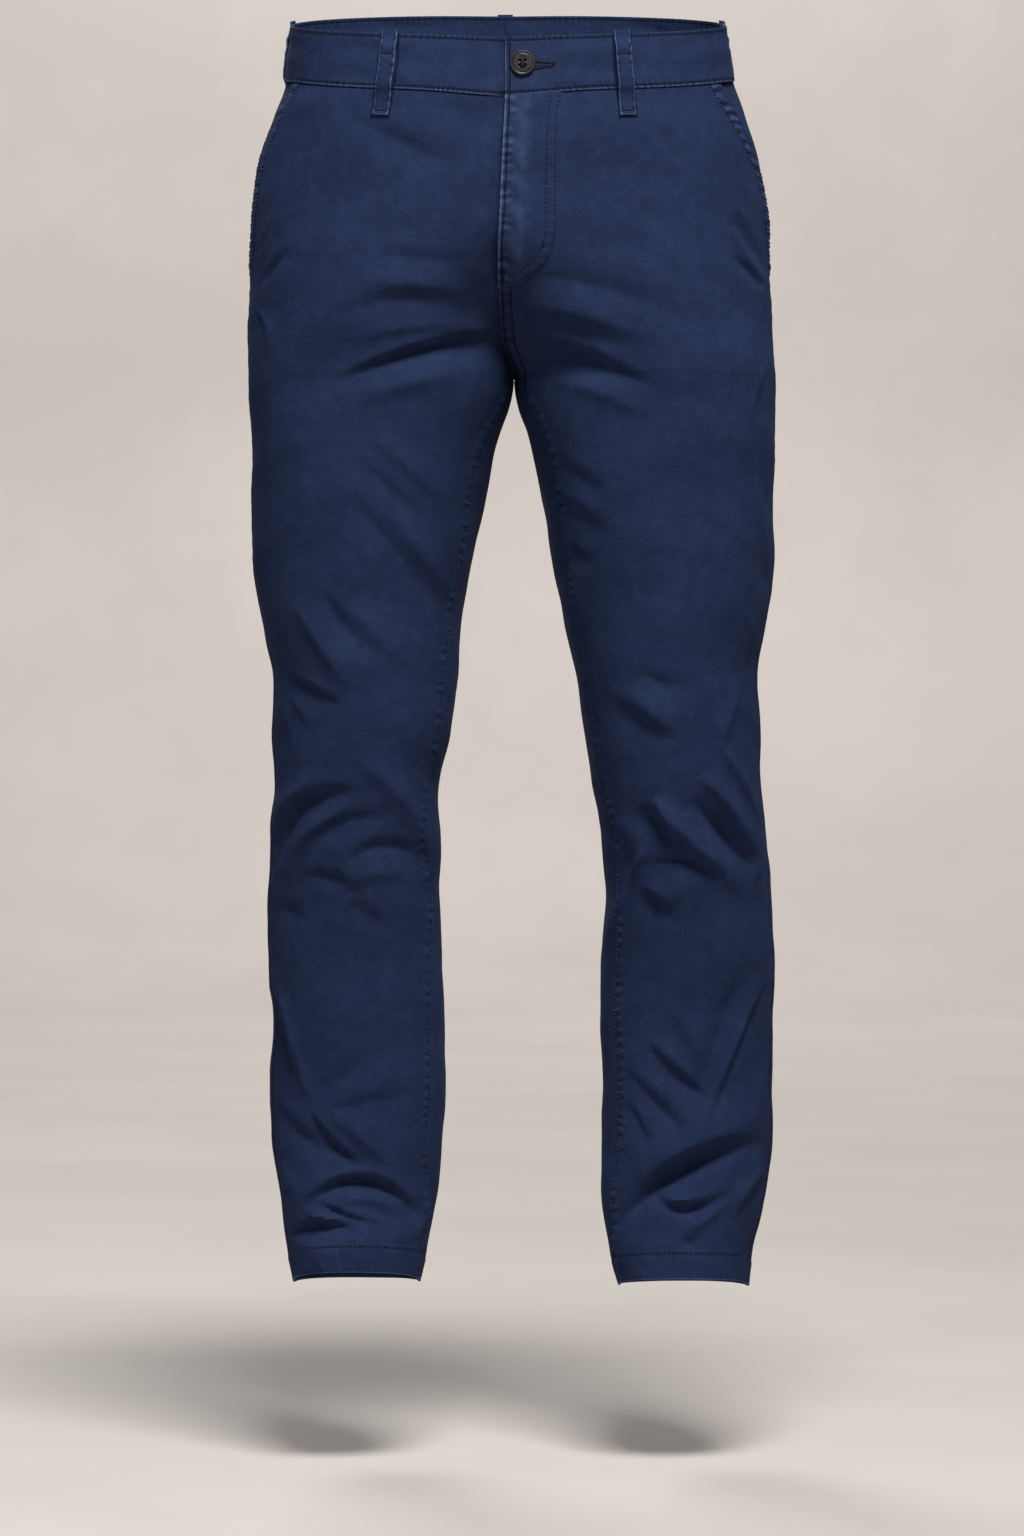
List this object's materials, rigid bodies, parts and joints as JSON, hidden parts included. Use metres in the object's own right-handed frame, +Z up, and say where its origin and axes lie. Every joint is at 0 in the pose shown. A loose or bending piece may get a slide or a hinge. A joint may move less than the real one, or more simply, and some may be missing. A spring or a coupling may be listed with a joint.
{
  "type": "chino trousers",
  "caption": "Slim chino trousers in the hollow form that they take when worn, with a buttoned waistband, fly, slanted pockets, belt loops and open hems.",
  "frame": {"origin": "middle of the waist opening, level with the top edge of the waistband at the side seams", "axes": "+Z up, -Y the front, +X the wearer's left"},
  "size_m": [0.4199, 0.2541, 1.0389],
  "materials": {
    "cloth": "fine navy cotton twill, soft sheen, worn paler along the seams",
    "button": "dark brown-black, satin, with a raised rim and four holes"
  },
  "bodies": {
    "root": {"front_right": "cloth", "front_left": "cloth", "back_right": "cloth", "back_left": "cloth", "waistband_right": "cloth", "waistband_left": "cloth", "pocket_bearer_right": "cloth", "pocket_bearer_left": "cloth", "fly_flap": "cloth", "belt_loop_front_right": "cloth", "belt_loop_front_left": "cloth", "belt_loop_side_right": "cloth", "belt_loop_side_left": "cloth", "belt_loop_centre_back": "cloth", "waist_button": "button"}
  },
  "joints": []
}
